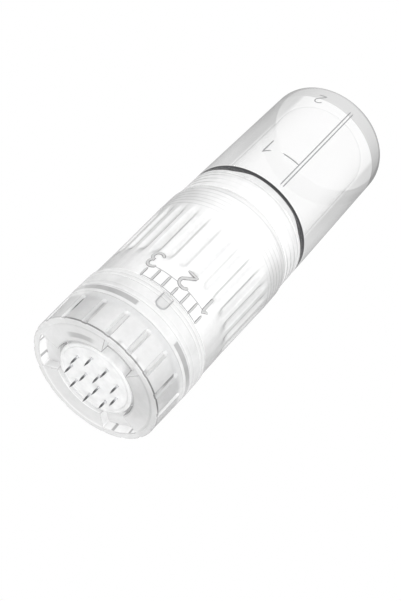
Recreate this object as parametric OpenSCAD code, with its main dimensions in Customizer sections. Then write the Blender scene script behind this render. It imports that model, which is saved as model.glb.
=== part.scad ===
// Adjustable micro-needle stamp applicator with a screw-in vial.
// Stands on the vial's flat base: origin at the centre of that base, +Z along
// the axis towards the needles. The front of the scale faces -Y.
// In the names, "rear" is towards the vial and "front" towards the needles.

/* [Vial] */
// Outer radius of the vial
vial_r = 7.0; // [6.6:0.1:7.0]
// Inner radius of the vial's chamber
vial_bore_r = 5.4; // [5.3:0.1:5.8]
// Height of the vial from its base to its shoulder
vial_h = 18.1; // [17.5:0.1:18.1]
// Thickness of the vial's base
vial_floor = 1.7; // [1.2:0.1:2.5]
// Rounding radius of the base edge
vial_round = 1.2; // [0.6:0.1:1.6]
// Pitch of the vial's screw thread
thread_pitch = 1.4; // [1.3:0.1:1.5]

/* [Grip] */
// Radius of the grip at its widest
grip_r = 7.14; // [7.05:0.01:7.3]
// Number of flutes around the grip
flute_count = 29; // [20:1:32]
// Depth of each flute
flute_depth = 0.26; // [0.1:0.02:0.4]
// Radius of the collar behind the grip
collar_r = 6.98; // [6.7:0.01:7.0]

/* [Dial] */
// Radius of the dial at its rear edge
dial_r = 7.0; // [6.9:0.01:7.1]
// Radius of the dial at its front edge
dial_front_r = 6.81; // [6.7:0.01:6.9]
// Radius of the opening round the needles
mouth_r = 4.2; // [4.1:0.05:4.4]
// Number of narrow grip grooves round the dial
groove_count = 18; // [12:3:24]
// Width of each groove
groove_w = 0.54; // [0.4:0.02:0.8]
// Depth of each groove
groove_depth = 0.34; // [0.2:0.02:0.4]
// Turn of the dial between one digit and the next
digit_turn = 28; // [24:1:30]

/* [Needles] */
// Length of needle in front of the dial with the dial at 2
needle_out = 0.96; // [0.6:0.02:1.2]
// Radius of each needle
needle_r = 0.11; // [0.1:0.01:0.16]
// Radius of the outer ring of nine needles
needle_ring_outer = 2.555; // [2.2:0.01:2.7]
// Radius of the inner ring of three needles
needle_ring_inner = 0.945; // [0.8:0.01:1.2]
// Change of depth for one digit on the scale
depth_step = 0.5; // [0.4:0.05:0.5]

/* [Hidden] */
$fn = 96;

// heights along the axis
z_collar = vial_h + 0.45;             // rear face of the collar, past the gasket
z_grip = 22.05;                       // rear edge of the grip
z_thread = 22.35;                     // start of the vial's thread
z_neck = 25.4;                        // front end of the vial's neck
z_web = 26.8;                         // front face of the web across the socket
z_retainer = 27.4;                    // front face of the seal retainer's disc
z_carrier = 28.4;                     // rear face of the carrier
z_carrier_floor = 29.2;               // front face of the carrier's floor
z_valve_seat = 32.2;
z_hub = 34.2;                         // rear end of the needle hub
z_step = 36.75;                       // front shoulder of the grip
z_pin = 38.1;                         // cam pins, with the dial at 2
z_retaining = 39.4;                   // rear side of the retaining ring's grooves
z_friction = [40.35, 40.95];          // sides of the friction ring's groove
z_hub_groove = [40.65, 41.25];        // sides of the hub seal's groove
z_spigot = 41.2;                      // front end of the grip's spigot
z_base = 41.4;                        // rear face of the needle base
z_hub_front = 43.0;
z_face = 44.24;                       // front plane of the dial
z_tip = z_face + needle_out;

// radii shared by mating pieces
neck_r = 5.2;                         // neck of the vial under its thread
neck_bore_r = 3.9;
socket_r = 5.8;                       // bore of the socket
joint_r = 6.3;                        // where the grip meets the socket
guide_r = 4.75;                       // bore of the grip round the carrier
carrier_r = 4.7;                      // running sleeve of the carrier
spigot_r = 5.7;
dial_bore_r = 5.75;
tube_r = 0.8;                         // feed tube
valve_seat_r = 0.65;
hub_bore_r = 3.2;
hub_rim_r = 3.95;
seal_gap = 0.03;                      // each side of a seal ring in its groove

// angles, in degrees
front = -90;                          // the direction of -Y
plus_x = 90;                          // the direction of +X, counted from -Y
first_pin = 60;
first_flute = -2.6;
dial_offset = -7;                     // of the dial's grooves and pockets
thread_start = -11;

seal_color = [0.85, 0.87, 0.88, 0.7];
clear_color = [0.95, 0.97, 0.98, 0.5];
tube_color = [0.9, 0.93, 0.95, 0.6];
insert_color = [0.93, 0.95, 0.96, 0.6];
spring_color = [0.9, 0.92, 0.94];

// ---------------------------------------------------------------- helpers
// turns local +X to an angle counted from -Y, positive towards +X
module at_angle(angle) { rotate([0, 0, front + angle]) children(); }

// evenly spaced copies round the axis
module around(count, first) {
    for (i = [0 : count - 1]) at_angle(first + i * 360 / count) children();
}

module ring(inner, outer, z0, z1) {
    translate([0, 0, z0]) rotate_extrude()
        translate([inner, 0]) square([outer - inner, z1 - z0]);
}

// part of a ring, swept from local +X
module arc_block(inner, outer, z, height, sweep) {
    translate([0, 0, z]) rotate_extrude(angle = sweep)
        translate([inner, 0]) square([outer - inner, height]);
}

// cylinder lying along local +X
module radial_cylinder(radius, start, z, length) {
    translate([start, 0, z]) rotate([0, 90, 0]) cylinder(r = radius, h = length);
}

// ring with cut corners: radial cut, then axial cuts at the inner and outer sides
module seal_ring(inner, outer, z0, z1, cut, inner_cut, outer_cut) {
    rotate_extrude() polygon([
        [inner, z0 + inner_cut], [inner + cut, z0], [outer - cut, z0], [outer, z0 + outer_cut],
        [outer, z1 - outer_cut], [outer - cut, z1], [inner + cut, z1], [inner, z1 - inner_cut]]);
}

// right-handed interrupted ridge: short level arcs that step up round the axis
module thread(inner, outer, z_start, turns) {
    arcs = 12;                        // in one turn
    gap = 4;                          // degrees between arcs
    ridge_w = 0.44;
    for (i = [0 : round(turns * arcs) - 1])
        at_angle(thread_start + 360 * i / arcs)
            arc_block(inner, outer, z_start + thread_pitch * i / arcs - ridge_w / 2,
                      ridge_w, 360 / arcs - gap);
}

// thin moulded bellows: a wall that zigzags between two radii
module bellows(inner, outer, wall, z0, z1, folds) {
    rise = (z1 - z0) / (2 * folds);
    rotate_extrude() polygon(concat(
        [for (i = [0 : 2 * folds]) [i % 2 == 0 ? inner : outer - wall, z0 + rise * i]],
        [for (i = [2 * folds : -1 : 0]) [i % 2 == 0 ? inner + wall : outer, z0 + rise * i]]));
}

// ---------------------------------------------------------------- vial
chamber_round = 0.8;                  // inner edge of the chamber floor
chamber_top = vial_h - 1.6;

module vial_shell() {
    color([0.93, 0.95, 0.96, 0.5]) {
        rotate_extrude() difference() {
            union() {
                square([vial_r - vial_round, vial_h]);
                translate([0, vial_round]) square([vial_r, vial_h - vial_round]);
                translate([vial_r - vial_round, vial_round]) circle(r = vial_round);
                translate([0, vial_h]) square([neck_r, z_neck - vial_h]);
            }
            // chamber and neck bore; the cuts start 1 mm past the axis
            translate([-1, vial_floor + chamber_round])
                square([vial_bore_r + 1, chamber_top - vial_floor - chamber_round]);
            translate([-1, vial_floor]) square([vial_bore_r - chamber_round + 1, 2]);
            translate([vial_bore_r - chamber_round, vial_floor + chamber_round])
                circle(r = chamber_round);
            translate([-1, vial_h - 2]) square([neck_bore_r + 1, 12]);
        }
        thread(neck_r - 0.2, 5.7, z_thread, turns = 2.0);
    }
}

module orifice_plug() {
    bore_r = 1.1;
    color(tube_color) difference() {
        union() {
            ring(bore_r, neck_bore_r, 23.4, z_neck);
            ring(bore_r, 1.8, 22.6, 23.5);
        }
        // blind holes in the rear face
        around(6, plus_x) translate([2.8, 0, 23]) cylinder(r = 0.5, h = 1.6);
    }
}

module vial_gasket() {
    color([0.07, 0.07, 0.08]) ring(5.78, 6.94, vial_h, z_collar);
}

// ---------------------------------------------------------------- scale
scale_r = grip_r - 0.27;              // surface that carries the scale
digit_r = scale_r + 0.02;
relief = 0.04;                        // marks stand proud by this
mark_root = 0.2;                      // depth of level marks and ticks below the surface
leg_root = 0.22;                      // depth of sloping strokes below the surface
digit_line = 0.2;                     // stroke width of the digits
z_digits = 33.35;
z_scale = [35.1, 36.6];               // the two lines round the scale

// strokes of each digit: [from angle, from height, to angle, to height]
DIGITS = [
    [[0, 0, 0, 1.9], [-5, 1.35, 0, 1.9]],
    [[-5, 0.1, 5, 0.1], [-5, 0.1, 4.6, 1.25], [4.6, 1.2, 2, 1.8],
     [-3.5, 1.8, 2.6, 1.8], [-5, 1.35, -3.3, 1.85]],
    [[-4.5, 0.1, 3, 0.1], [3, 0.1, 4.5, 0.55], [4.5, 0.5, 1, 1.05],
     [1, 1.0, 4.5, 1.8], [-4.5, 1.8, 4.8, 1.8]]];

// level line, curved with the surface
module level_line(from, to, z, width, radius) {
    at_angle(from)
        arc_block(radius - mark_root, radius + relief, z - width / 2, width, to - from);
}

// straight sloping or upright stroke of a digit
module leg(from, z0, to, z1) {
    across = (to - from) * digit_r * PI / 180;
    up = z1 - z0;
    length = norm([across, up]);
    at_angle((from + to) / 2) translate([digit_r - leg_root, 0, (z0 + z1) / 2])
        rotate([-atan2(across, up), 0, 0])
            translate([0, -digit_line / 2, -length / 2])
                cube([leg_root + relief, digit_line, length]);
}

module digit(strokes, angle) {
    for (s = strokes)
        if (s[1] == s[3])
            level_line(angle + s[0], angle + s[2], z_digits + s[1], digit_line, digit_r);
        else
            leg(angle + s[0], z_digits + s[1], angle + s[2], z_digits + s[3]);
}

// seven ticks, two lines and three digits
module depth_scale() {
    tick_w = 0.14;
    tick_top = z_step - 0.05;
    for (i = [0 : 6]) {
        tick_z = i % 3 == 0 ? 35.55 : z_scale[0];   // shorter over a digit
        at_angle(-digit_turn + i * digit_turn / 3)
            translate([scale_r - mark_root, -tick_w / 2, tick_z])
                cube([mark_root + relief, tick_w, tick_top - tick_z]);
    }
    for (z = z_scale) level_line(-digit_turn, digit_turn, z, 0.08, scale_r);
    for (i = [0 : 2]) digit(DIGITS[i], (i - 1) * digit_turn);
}

// ---------------------------------------------------------------- grip
flute_r = 0.52;
slot_r = 0.55;                        // half the width of a cam pin's slot

module grip_body() {
    color(clear_color) difference() {
        union() {
            rotate_extrude() polygon([
                [joint_r, z_grip], [6.98, z_grip], [grip_r, 22.9], [grip_r, 25.1],
                [grip_r - 0.08, 28], [scale_r + 0.05, 33.3], [scale_r, z_step],
                [spigot_r, z_step], [spigot_r, z_spigot],
                [guide_r, z_spigot], [guide_r, 34.6], [5.1, 34.2], [5.1, 28.4],
                [guide_r, 28.0], [guide_r, z_web], [joint_r, z_web]]);
            depth_scale();
        }
        around(flute_count, first_flute)
            translate([grip_r + flute_r - flute_depth, 0, 26.6]) cylinder(r = flute_r, h = 6.4);
        // straight slots that keep the cam pins from turning
        around(3, first_pin) {
            translate([4, -slot_r, z_pin - slot_r]) cube([2, 2 * slot_r, 2 * slot_r]);
            for (side = [-1, 1]) radial_cylinder(slot_r, 4, z_pin + side * slot_r, 2);
        }
        // groove for the retaining ring, groove for the friction ring
        ring(5.3, 5.9, z_retaining, 40.0);
        ring(5.3, 5.9, z_friction[0], z_friction[1]);
    }
}

module vial_socket() {
    color(clear_color) {
        rotate_extrude() polygon([
            [socket_r, z_collar], [collar_r - 0.12, z_collar], [collar_r, z_collar + 0.12],
            [collar_r, 19.4], [collar_r - 0.1, 19.45], [collar_r - 0.1, 19.55], [collar_r, 19.6],
            [collar_r, z_grip], [joint_r, z_grip], [joint_r, z_web], [1.9, z_web], [1.9, 26.2],
            [0.95, 26.2], [0.95, 25.9], [socket_r, 25.9]]);
        // half a pitch on, between the turns of the vial's thread
        thread(5.3, socket_r + 0.2, z_thread + thread_pitch / 2, turns = 1.6);
    }
}

module tube_seal_ring() {
    color(seal_color)
        seal_ring(0.82, 1.88, 26.22, 26.78, cut = 0.18, inner_cut = 0.18, outer_cut = 0.18);
}

module seal_retainer() {
    color(insert_color) {
        ring(0.95, 4.73, z_web, z_retainer);
        ring(1.6, 2.0, z_retainer, z_retainer + 0.2);
    }
}

module dial_friction_ring() {
    color(seal_color)
        seal_ring(5.32, 5.73, z_friction[0] + seal_gap, z_friction[1] - seal_gap,
                  cut = 0.08, inner_cut = 0.07, outer_cut = 0.12);
}

// ---------------------------------------------------------------- carrier
pin_r = 0.5;

module needle_carrier() {
    color([0.94, 0.96, 0.97, 0.5]) difference() {
        rotate_extrude() polygon([
            [tube_r, z_carrier], [carrier_r, z_carrier], [carrier_r, 42.0], [3.9, 42.0],
            [3.9, 35.0], [4.2, 35.0], [4.2, z_carrier_floor], [tube_r, z_carrier_floor]]);
        around(3, first_pin) radial_cylinder(pin_r, 3.5, z_pin, 2);
    }
}

module feed_tube() {
    bore_r = 0.5;
    color(tube_color) rotate_extrude() polygon([
        [bore_r, 20.5], [0.65, 20.5], [tube_r, 21.2],
        [tube_r, z_carrier_floor], [bore_r, z_carrier_floor]]);
}

module cam_pins() {
    color([0.88, 0.9, 0.92]) around(3, first_pin) radial_cylinder(pin_r, 3.94, z_pin, 2.24);
}

module valve_body() {
    color(insert_color) difference() {
        rotate_extrude() polygon([
            [1.2, z_carrier_floor], [2.5, z_carrier_floor], [2.5, 29.7], [2.2, 29.9],
            [2.2, 32.9], [1.9, 33.2], [valve_seat_r, 33.2], [valve_seat_r, z_valve_seat],
            [1.2, z_valve_seat]]);
        // three upright notches in the outer wall
        around(3, plus_x) translate([2.0, -0.2, 30.2]) cube([1, 0.4, 1.6]);
    }
}

// placed as a 1 mm ball resting on the seat's edge, and made slightly smaller
module valve_ball() {
    contact_r = 1;
    color(spring_color)
        translate([0, 0, z_valve_seat - sqrt(contact_r * contact_r - valve_seat_r * valve_seat_r)])
            sphere(r = contact_r - 0.002);
}

module valve_spring() {
    color(spring_color) bellows(0.56, 0.9, 0.16, z_carrier_floor, 30.58, folds = 3);
}

module return_spring() {
    color(spring_color) bellows(3.0, 4.0, 0.4, z_carrier_floor, z_hub, folds = 4);
}

// ---------------------------------------------------------------- needle head
module needle_hub() {
    color(clear_color) difference() {
        union() {
            rotate_extrude() polygon([
                [3.3, z_hub], [4.15, z_hub], [4.15, 34.97], [3.85, 34.97], [3.85, 42.55],
                [hub_rim_r, 42.6], [hub_rim_r, z_hub_front], [hub_bore_r, z_hub_front],
                [hub_bore_r, z_base], [0, z_base], [0, 40.5], [3.3, 40.5]]);
            // stem that opens the valve
            translate([0, 0, 32.46]) cylinder(r = 0.45, h = 8.2);
            translate([0, 0, 34.6]) cylinder(r = 0.9, h = 6.0);
        }
        ring(3.45, 4.0, z_hub_groove[0], z_hub_groove[1]);
        around(4, plus_x + 45) translate([2.0, 0, 40]) cylinder(r = 0.4, h = 2);
    }
}

module hub_seal_ring() {
    color(seal_color)
        seal_ring(3.47, 3.88, z_hub_groove[0] + seal_gap, z_hub_groove[1] - seal_gap,
                  cut = 0.1, inner_cut = 0.12, outer_cut = 0.12);
}

// the twelve needle places: nine on the outer ring, three on the inner one
module needle_places() {
    around(9, -8.6) translate([needle_ring_outer, 0, 0]) children();
    around(3, -9) translate([needle_ring_inner, 0, 0]) children();
}

module needle_base() {
    color([0.94, 0.96, 0.97, 0.6]) difference() {
        ring(0, hub_bore_r, z_base, 42.2);
        needle_places() translate([0, 0, 41]) cylinder(r = needle_r, h = 2);
        around(4, plus_x + 45) translate([1.75, 0, 41]) cylinder(r = 0.3, h = 2);
    }
}

module needle_plate() {
    color(clear_color) difference() {
        rotate_extrude() polygon([
            [0, 42.6], [hub_bore_r, 42.6], [hub_bore_r, z_hub_front], [hub_rim_r, z_hub_front],
            [hub_rim_r, 43.93], [hub_rim_r - 0.2, 44.13], [0, 44.13]]);
        needle_places() translate([0, 0, 42]) cylinder(r = needle_r + 0.1, h = 3);
    }
}

module needles() {
    point_h = 0.45;
    z_point = z_tip - point_h;
    color([0.42, 0.43, 0.45]) needle_places() {
        translate([0, 0, z_base]) cylinder(r = needle_r, h = z_point - z_base, $fn = 24);
        translate([0, 0, z_point]) cylinder(r1 = needle_r, r2 = 0.012, h = point_h, $fn = 24);
    }
}

// ---------------------------------------------------------------- dial
dial_rear = z_step + 0.05;
pip_r = 0.57;
pip_start = 6.5;                      // radius where the index pip begins
pip_length = 0.66;
z_pip = [37.1, 38.13];                // rear end, centre of the round end
z_groove = 41.28;                     // centre of each groove's round rear end
groove_floor_r = dial_front_r + 0.12 - groove_depth;
pocket_sweep = 40;
cam_r = 5.95;                         // radius at which the cam's slope is set
cam_w = 1.2;
cam_length = 7.2;

module depth_dial() {
    color(clear_color) difference() {
        union() {
            rotate_extrude() polygon([
                [dial_bore_r, dial_rear], [dial_r - 0.08, dial_rear], [dial_r, dial_rear + 0.08],
                [dial_r - 0.02, 39.1], [dial_front_r, 43.7], [dial_front_r - 0.07, 44.05],
                [dial_front_r - 0.26, z_face], [mouth_r + 0.1, z_face],
                [mouth_r, z_face - 0.1], [mouth_r, 42.7], [dial_bore_r, 42.7]]);
            // index pip
            at_angle(0) {
                radial_cylinder(pip_r, pip_start, z_pip[1], pip_length);
                translate([pip_start, -pip_r, z_pip[0]])
                    cube([pip_length, 2 * pip_r, z_pip[1] - z_pip[0]]);
            }
        }
        // narrow grooves that run out at the front edge
        around(groove_count, dial_offset) {
            translate([groove_floor_r, -groove_w / 2, z_groove]) cube([1, groove_w, 3.5]);
            radial_cylinder(groove_w / 2, groove_floor_r, z_groove, 1);
        }
        // three pockets in the front face, open to the mouth
        around(3, dial_offset - pocket_sweep / 2)
            arc_block(mouth_r - 0.3, 6.16, z_face - 0.95, 2, pocket_sweep);
        // recess for the retaining ring
        ring(dial_bore_r - 0.2, 6.2, z_retaining, 40.02);
        // cam grooves: flat tilted cuts that fall one depth step a digit
        intersection() {
            cylinder(r = 6.25, h = 60);
            around(3, first_pin) translate([4.6, 0, z_pin])
                rotate([-atan2(depth_step, cam_r * sin(digit_turn)), 0, 0])
                    translate([0, -cam_length / 2, -cam_w / 2]) cube([3, cam_length, cam_w]);
        }
    }
}

// split ring with three outer tabs
module dial_retaining_ring() {
    split = 8;                        // degrees
    tab_sweep = 80;
    z_ring = z_retaining + 0.05;
    thickness = 0.5;
    color([0.55, 0.56, 0.58]) {
        at_angle(dial_offset + 180 + split / 2)
            arc_block(5.36, 5.72, z_ring, thickness, 360 - split);
        around(3, dial_offset + 60 - tab_sweep / 2)
            arc_block(5.5, 6.15, z_ring, thickness, tab_sweep);
    }
}

vial_shell();
orifice_plug();
vial_gasket();
grip_body();
vial_socket();
tube_seal_ring();
seal_retainer();
dial_friction_ring();
needle_carrier();
feed_tube();
cam_pins();
valve_body();
valve_ball();
valve_spring();
return_spring();
needle_hub();
hub_seal_ring();
needle_base();
needle_plate();
needles();
depth_dial();
dial_retaining_ring();
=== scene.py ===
# A clear needle applicator with a vial, a fluted grip, a depth dial and a head of steel needles.
# It stands on its vial: the axis is Z, the vial's base is at z = 0 and the needles point up.
# The front is -Y. Azimuths are degrees from the front, positive towards +X.
# Shapes are in mm and become metres as they are built.
import math
from functools import cached_property, partial
import bpy
import bmesh
import numpy as np
from mathutils import Matrix, Vector


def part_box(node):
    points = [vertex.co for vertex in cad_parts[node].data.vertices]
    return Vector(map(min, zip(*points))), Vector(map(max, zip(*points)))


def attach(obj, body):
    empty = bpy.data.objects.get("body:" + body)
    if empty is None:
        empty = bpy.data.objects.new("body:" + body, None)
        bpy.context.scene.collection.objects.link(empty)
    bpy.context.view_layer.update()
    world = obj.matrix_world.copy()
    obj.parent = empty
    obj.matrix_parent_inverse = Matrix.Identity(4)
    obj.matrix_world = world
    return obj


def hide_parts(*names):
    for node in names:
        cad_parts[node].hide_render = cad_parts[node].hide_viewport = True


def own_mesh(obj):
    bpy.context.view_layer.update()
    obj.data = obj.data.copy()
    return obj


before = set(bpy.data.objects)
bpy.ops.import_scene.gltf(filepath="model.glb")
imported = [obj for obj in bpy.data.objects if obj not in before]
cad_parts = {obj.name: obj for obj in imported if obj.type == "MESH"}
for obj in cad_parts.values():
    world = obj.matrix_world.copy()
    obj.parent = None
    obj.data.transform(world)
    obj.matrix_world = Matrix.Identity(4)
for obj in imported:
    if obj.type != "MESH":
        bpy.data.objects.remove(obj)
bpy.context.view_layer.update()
MM = 0.001
scene = bpy.context.scene


# ------------------------------------------------------------------ driving dimensions (mm)
def cad_box(name):
    """Low and high corners of a CAD piece."""
    low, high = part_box(name)
    return Vector(low) / MM, Vector(high) / MM


VIAL_R = cad_box("vial_shell")[1].x
SHOULDER_Z = cad_box("vial_gasket")[0].z   # shoulder of the vial
COLLAR_LOW, COLLAR_HIGH = cad_box("vial_socket")
COLLAR_Z, COLLAR_R = COLLAR_LOW.z, COLLAR_HIGH.x
GRIP_LOW, GRIP_HIGH = cad_box("grip_body")
GRIP_Z, GRIP_R = GRIP_LOW.z, GRIP_HIGH.x
SPIGOT_Z = GRIP_HIGH.z                     # top of the spigot inside the dial
DIAL_LOW, DIAL_HIGH = cad_box("depth_dial")
DIAL_Z, FACE_Z = DIAL_LOW.z, DIAL_HIGH.z   # bottom and top face of the dial
STEP_Z = DIAL_Z - 0.05                     # top shoulder of the grip
PLATE_HIGH = cad_box("needle_plate")[1]
PLATE_R, PLATE_Z = PLATE_HIGH.x, PLATE_HIGH.z
TIP_Z = cad_box("needles")[1].z
GAP = 0.02                                 # air left between clear parts that touch

NECK_BORE = 3.9
SEAT_Z = 26.8                              # top of the collar, inside the grip
SEAT_R = 6.3
PITCH = 1.4                                # screw thread between vial and collar
THREAD_Z = 22.35
THREAD_START = -11.0                       # azimuth where the ridges start
THREAD_DEPTH = 0.48
FLUTES, FLUTE_START = 29, -2.6             # hollows round the grip, azimuth of the first
GRIP_TOP_R = GRIP_R - 0.27
DIAL_R = 7.0
GROOVES, GROOVE_START = 18, -7.0           # narrow grooves round the dial
GROOVE_END_Z = 41.28                       # centre of each groove's round lower end
GROOVE_W, GROOVE_DEPTH = 0.54, 0.34
MOUTH_R, RIM_R, POCKET_DEPTH = 4.2, 6.16, 0.95
POCKET_AZIMUTHS = [GROOVE_START + 120 * k for k in range(3)]
RING_START = GROOVE_START + 60             # middle of the smoky ring's first lug
PIN_Z = 38.1                               # three cam pins
PIN_AZIMUTHS = [60 + 120 * k for k in range(3)]
CARRIER_TOP = 42.0
FLOOR_TOP = 29.2                           # top of the carrier's floor
HUB_BORE, HUB_TOP = 3.2, 43.0


# ------------------------------------------------------------------ mesh tools
def wrap(value, half=180):
    """Brings an angle into -half..half."""
    return (value + half) % (2 * half) - half


def smooth(value, low, high):
    """Smooth step from 0 at low to 1 at high."""
    t = np.clip((value - low) / (high - low), 0, 1)
    return t * t * (3 - 2 * t)


def fillet(corners, closed, seg):
    """Turns corners (r, z, fillet radius) into points: an arc at each corner, at most seg
    degrees a step, with extra points beside it that hold the flats."""
    count = len(corners)
    points = []
    for i in range(count):
        corner = np.array(corners[i][:2], float)
        radius = corners[i][2] if len(corners[i]) > 2 else 0.0
        if radius <= 0 or (not closed and i in (0, count - 1)):
            points.append(corner)
            continue
        back = np.array(corners[(i - 1) % count][:2], float) - corner
        ahead = np.array(corners[(i + 1) % count][:2], float) - corner
        back_length, ahead_length = np.linalg.norm(back), np.linalg.norm(ahead)
        back, ahead = back / back_length, ahead / ahead_length
        angle = math.acos(max(-1, min(1, float(back @ ahead))))
        if angle > math.pi - 0.02:
            points.append(corner)
            continue
        reach = radius / math.tan(angle / 2)
        reach = min(reach, back_length * 0.48, ahead_length * 0.48)
        radius = reach * math.tan(angle / 2)
        middle = back + ahead
        centre = corner + middle / np.linalg.norm(middle) * (radius / math.sin(angle / 2))
        start, end = corner + back * reach, corner + ahead * reach
        start_angle = math.atan2(*(start - centre)[::-1])
        end_angle = math.atan2(*(end - centre)[::-1])
        sweep = wrap(end_angle - start_angle, math.pi)
        steps = max(2, int(math.ceil(abs(math.degrees(sweep)) / seg)))
        hold = min(0.05, radius * 0.6)
        if back_length - reach > 4 * hold:
            points.append(start + back * hold)
        for j in range(steps + 1):
            t = start_angle + sweep * j / steps
            points.append(centre + radius * np.array([math.cos(t), math.sin(t)]))
        if ahead_length - reach > 4 * hold:
            points.append(end + ahead * hold)
    return np.array(points)


def refine(points, step, closed, zones):
    """Splits long segments; zones are (z0, z1, step) bands that get a finer step."""
    fine = []
    count = len(points)
    for i in range(count if closed else count - 1):
        start, end = points[i], points[(i + 1) % count]
        length = max(np.linalg.norm(end - start), 1e-9)
        cuts = [0.0]
        t = 0.0
        while True:
            z = start[1] + (end[1] - start[1]) * t
            local = min([step] + [fine_step for z0, z1, fine_step in zones if z0 <= z <= z1])
            t += local / length
            if t >= 1 - 0.35 * local / length:
                break
            cuts.append(t)
        fine.extend(start + (end - start) * t for t in cuts)
    if not closed:
        fine.append(points[-1])
    return np.array(fine)


def azimuth_steps(count, marks=(), offsets=()):
    """Even azimuths, replaced around each mark by the given offsets from it."""
    steps = np.arange(count) * 360.0 / count - 180
    if len(marks):
        limit = max(abs(offset) for offset in offsets) + 0.15
        keep = np.ones(count, bool)
        extra = []
        for mark in marks:
            keep &= np.abs(wrap(steps - mark)) > limit
            extra += [mark + offset for offset in offsets]
        steps = np.concatenate([steps[keep], np.array(extra)])
    return np.unique(np.round(wrap(steps), 4))


def add_object(name, mesh):
    obj = bpy.data.objects.new(name, mesh)
    scene.collection.objects.link(obj)
    return obj


def bmesh_object(name, bm):
    mesh = bpy.data.meshes.new(name)
    bm.to_mesh(mesh)
    bm.free()
    return add_object(name, mesh)


def shade(mesh, sharp_degrees):
    mesh.shade_smooth()
    mesh.set_sharp_from_angle(angle=math.radians(sharp_degrees))


def revolve(name, profile, azimuths, closed, shape):
    """Turns an (r, z) profile about Z; shape(radius, height, azimuth) may move its points."""
    turns, count = len(azimuths), len(profile)
    radius = np.repeat(profile[None, :, 0], turns, 0)
    height = np.repeat(profile[None, :, 1], turns, 0)
    azimuth = np.repeat(np.asarray(azimuths)[:, None], count, 1)
    if shape:
        radius, height = shape(radius, height, azimuth)
    theta = np.radians(azimuth - 90)
    places = np.stack([radius * np.cos(theta), radius * np.sin(theta), height], -1)
    i = np.arange(turns)[:, None]
    j = np.arange(count if closed else count - 1)[None, :]
    i2, j2 = (i + 1) % turns, (j + 1) % count
    quads = np.stack([i * count + j, i2 * count + j, i2 * count + j2, i * count + j2], -1)
    mesh = bpy.data.meshes.new(name)
    mesh.from_pydata((places.reshape(-1, 3) * MM).tolist(), [], quads.reshape(-1, 4).tolist())
    bm = bmesh.new()
    bm.from_mesh(mesh)
    if profile[:, 0].min() < 1e-6:
        # the points on the axis become one
        on_axis = [v for v in bm.verts if v.co.xy.length < 1e-7]
        bmesh.ops.remove_doubles(bm, verts=on_axis, dist=1e-8)
        bmesh.ops.dissolve_degenerate(bm, edges=bm.edges, dist=1e-9)
    bm.to_mesh(mesh)
    bm.free()
    shade(mesh, 38)
    return add_object(name, mesh)


def lathe(name, corners, count=160, closed=True, seg=14.0, shape=None, step=None, zones=(),
          azimuths=None):
    """Turned part from corners (r, z, fillet radius), counterclockwise in (r, z)."""
    profile = fillet(corners, closed, seg)
    if step:
        profile = refine(profile, step, closed, zones)
    if azimuths is None:
        azimuths = azimuth_steps(count)
    return revolve(name, profile, azimuths, closed, shape)


# Section of a raised stroke: (place across, -1..1, share of the height); None is sunk in the wall
STROKE = ((-1, None), (-1, 0.25), (-0.72, 0.8), (-0.3, 1), (0.3, 1), (0.72, 0.8), (1, 0.25),
          (1, None))


def ridges(name, lines, width, height, wall_r, sink=0.03):
    """Raised strokes on a cylinder: each line is [(azimuth, z), ...]; wall_r(z) is its radius."""
    bm = bmesh.new()
    for line in lines:
        dense = []
        for (a0, z0), (a1, z1) in zip(line, line[1:]):
            length = math.hypot(math.radians(a1 - a0) * wall_r(z0), z1 - z0)
            steps = max(1, int(length / 0.22))
            dense += [(a0 + (a1 - a0) * t / steps, z0 + (z1 - z0) * t / steps)
                      for t in range(steps)]
        dense.append(line[-1])
        last = len(dense) - 1
        rings = []
        for k, (azimuth, z) in enumerate(dense):
            radius = wall_r(z)
            before, after = dense[max(k - 1, 0)], dense[min(k + 1, last)]
            run = math.radians(after[0] - before[0]) * radius
            rise = after[1] - before[1]
            length = math.hypot(run, rise) or 1.0
            at_end = k in (0, last)
            half_width = width / 2 * (0.55 if at_end else 1.0)
            ring = []
            for across, share in STROKE:
                lift = -sink if share is None else height * share
                if at_end:
                    lift = min(lift, height * 0.5)
                theta = math.radians(azimuth - 90) - rise / length * across * half_width / radius
                z_point = z + run / length * across * half_width
                r_point = wall_r(z_point) + lift
                ring.append(bm.verts.new((r_point * math.cos(theta) * MM,
                                          r_point * math.sin(theta) * MM, z_point * MM)))
            rings.append(ring)
        sides = len(STROKE)
        for low, high in zip(rings, rings[1:]):
            for s in range(sides):
                bm.faces.new((low[s], low[(s + 1) % sides], high[(s + 1) % sides], high[s]))
        bm.faces.new(rings[0][::-1])
        bm.faces.new(rings[-1])
    bmesh.ops.recalc_face_normals(bm, faces=bm.faces)
    obj = bmesh_object(name, bm)
    shade(obj.data, 60)
    return obj


def cut(obj, cutters):
    """Cuts the cutters out of the object, joined into one mesh, and applies the result."""
    bm = bmesh.new()
    for cutter in cutters:
        bm.from_mesh(cutter.data)
        bpy.data.objects.remove(cutter)
    joined = bmesh_object("cut", bm)
    modifier = obj.modifiers.new("cut", "BOOLEAN")
    modifier.object = joined
    modifier.operation = "DIFFERENCE"
    modifier.solver = "EXACT"
    depsgraph = bpy.context.evaluated_depsgraph_get()
    mesh = bpy.data.meshes.new_from_object(obj.evaluated_get(depsgraph))
    obj.modifiers.clear()
    obj.data = mesh
    shade(mesh, 35)
    bpy.data.objects.remove(joined)


def polar(radius, azimuth):
    theta = math.radians(azimuth - 90)
    return radius * math.cos(theta), radius * math.sin(theta)


def rods(places, z0, z1, radius, count=32):
    """Upright cylinders at (x, y) places, to cut holes with."""
    made = []
    for x, y in places:
        rod = lathe("rod", [(0, z0), (radius, z0), (radius, z1), (0, z1)], count, closed=False)
        rod.data.transform(Matrix.Translation((x * MM, y * MM, 0)))
        made.append(rod)
    return made


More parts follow.
